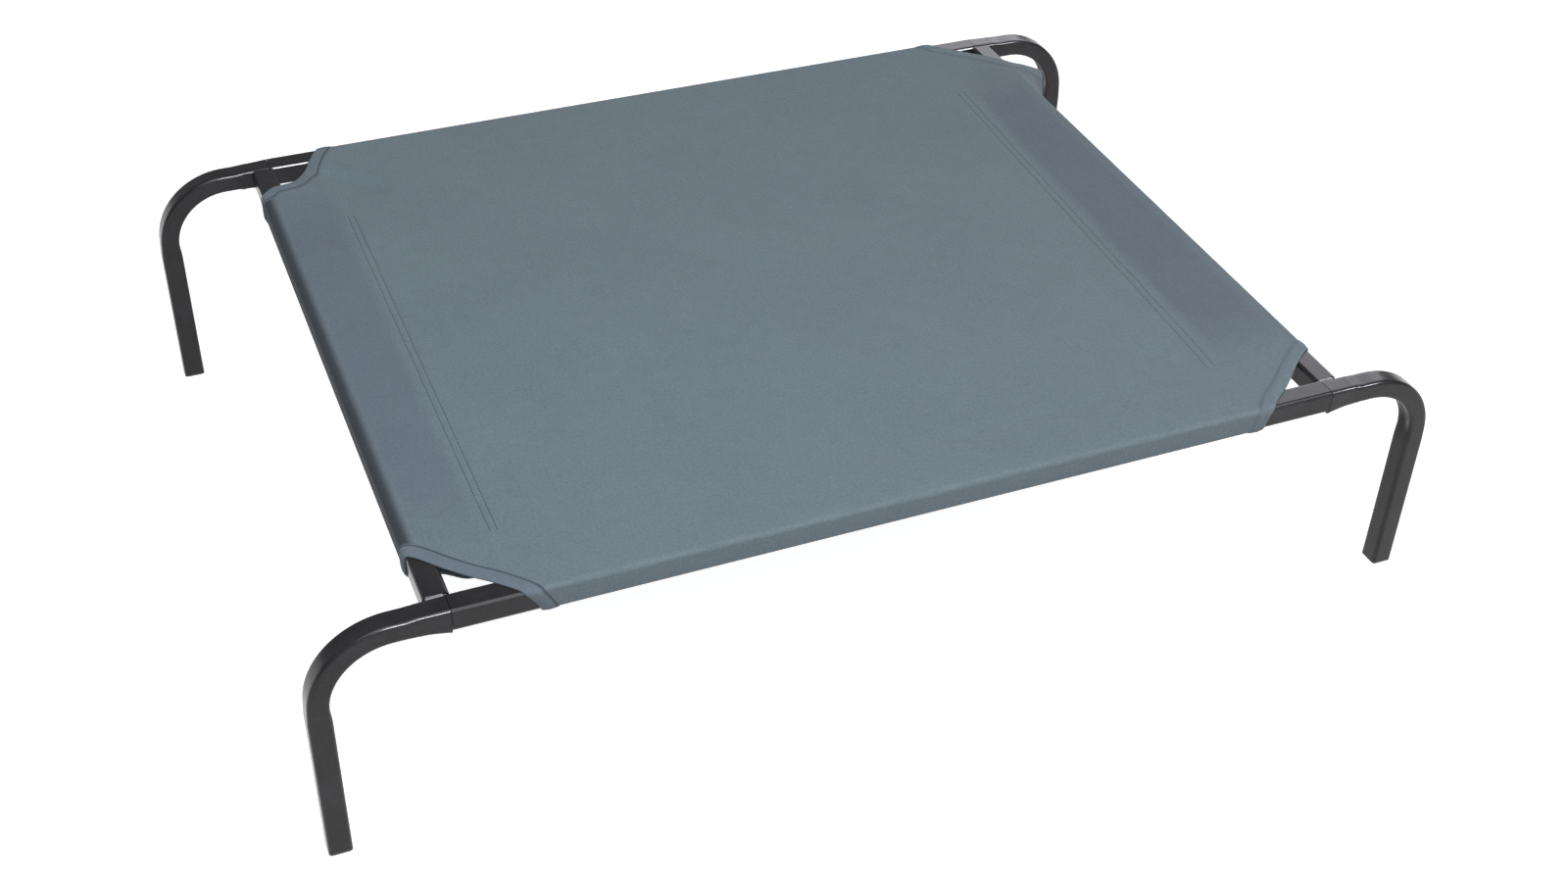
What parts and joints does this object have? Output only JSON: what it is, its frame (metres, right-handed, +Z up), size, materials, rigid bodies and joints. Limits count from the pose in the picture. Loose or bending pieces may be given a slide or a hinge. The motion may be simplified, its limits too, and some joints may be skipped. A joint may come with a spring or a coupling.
{
  "type": "dog bed with frame",
  "caption": "Raised dog bed: square-tube frame on bent legs with a stretched cloth cover sewn round the rails and cut away at the corners.",
  "frame": {"origin": "on the floor under the middle of the bed", "axes": "+X along the length towards the right-hand legs, +Y across the width to the back, +Z up"},
  "size_m": [0.906, 0.6402, 0.2051],
  "materials": {
    "frame_coat": "semi-gloss black powder coat",
    "cover_cloth": "slate blue-grey plain-weave polyester",
    "binding_tape": "folded slate tape",
    "zinc_steel": "bright zinc",
    "black_steel": "black oxide",
    "cap_plastic": "moulded black"
  },
  "bodies": {
    "root": {"front_rail": "frame_coat", "back_rail": "frame_coat", "left_rail": "frame_coat", "right_rail": "frame_coat", "sleeper_cover": "cover_cloth", "leg_front_left": "frame_coat", "foot_cap_front_left": "cap_plastic", "corner_stub_front_left": "zinc_steel", "rail_screw_front_left": "black_steel", "side_screw_front_left": "black_steel", "weld_nut_front_left": "zinc_steel", "corner_binding_front_left": "binding_tape", "leg_front_right": "frame_coat", "foot_cap_front_right": "cap_plastic", "corner_stub_front_right": "zinc_steel", "rail_screw_front_right": "black_steel", "side_screw_front_right": "black_steel", "weld_nut_front_right": "zinc_steel", "corner_binding_front_right": "binding_tape", "leg_back_left": "frame_coat", "foot_cap_back_left": "cap_plastic", "corner_stub_back_left": "zinc_steel", "rail_screw_back_left": "black_steel", "side_screw_back_left": "black_steel", "weld_nut_back_left": "zinc_steel", "corner_binding_back_left": "binding_tape", "leg_back_right": "frame_coat", "foot_cap_back_right": "cap_plastic", "corner_stub_back_right": "zinc_steel", "rail_screw_back_right": "black_steel", "side_screw_back_right": "black_steel", "weld_nut_back_right": "zinc_steel", "corner_binding_back_right": "binding_tape"}
  },
  "joints": []
}
